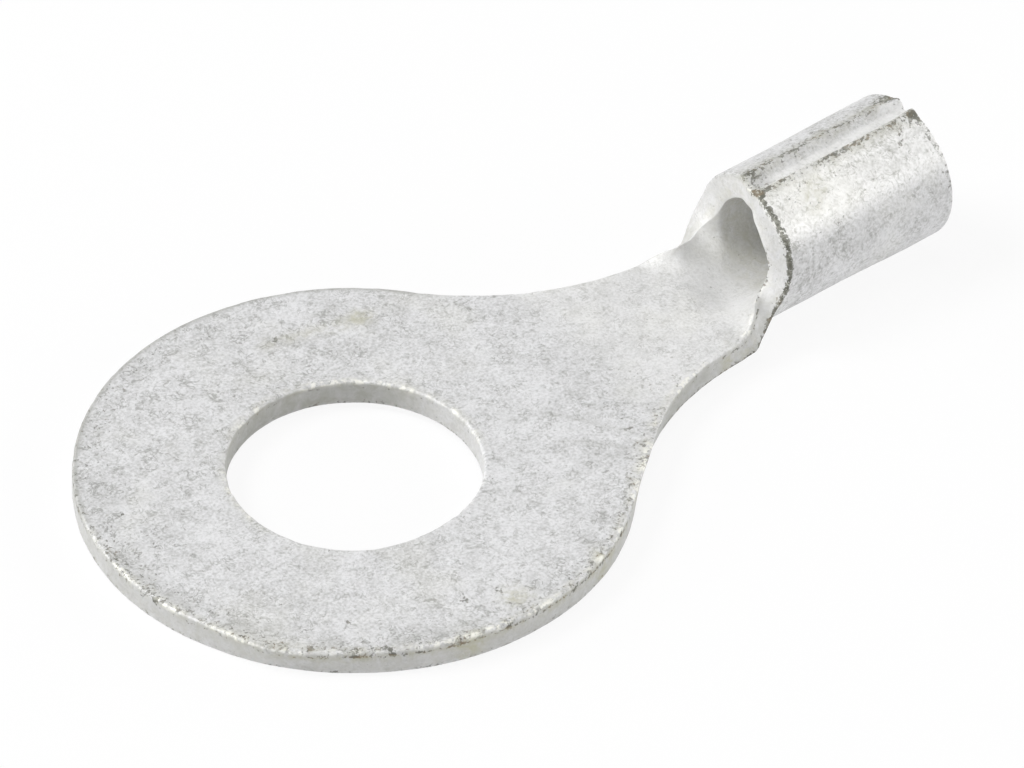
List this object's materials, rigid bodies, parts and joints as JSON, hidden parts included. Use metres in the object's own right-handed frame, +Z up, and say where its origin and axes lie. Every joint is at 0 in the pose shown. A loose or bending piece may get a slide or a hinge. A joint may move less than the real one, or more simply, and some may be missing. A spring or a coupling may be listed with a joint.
{
  "type": "crimp ring terminal",
  "caption": "Bare metal crimp ring terminal: flat ring tongue with a stud hole, tapering neck and rolled wire barrel with a butt seam along its top.",
  "frame": {"origin": "centre of the stud hole on the underside of the ring tongue", "axes": "+X from the ring along the barrel to its wire end, +Z up out of the tongue's top face"},
  "size_m": [0.0249, 0.014, 0.0039],
  "materials": {
    "tinned_copper": "dull tin plating over copper sheet, slightly mottled, with scuffs and a little dirt in the seam"
  },
  "bodies": {
    "root": {"terminal": "tinned_copper"}
  },
  "joints": []
}
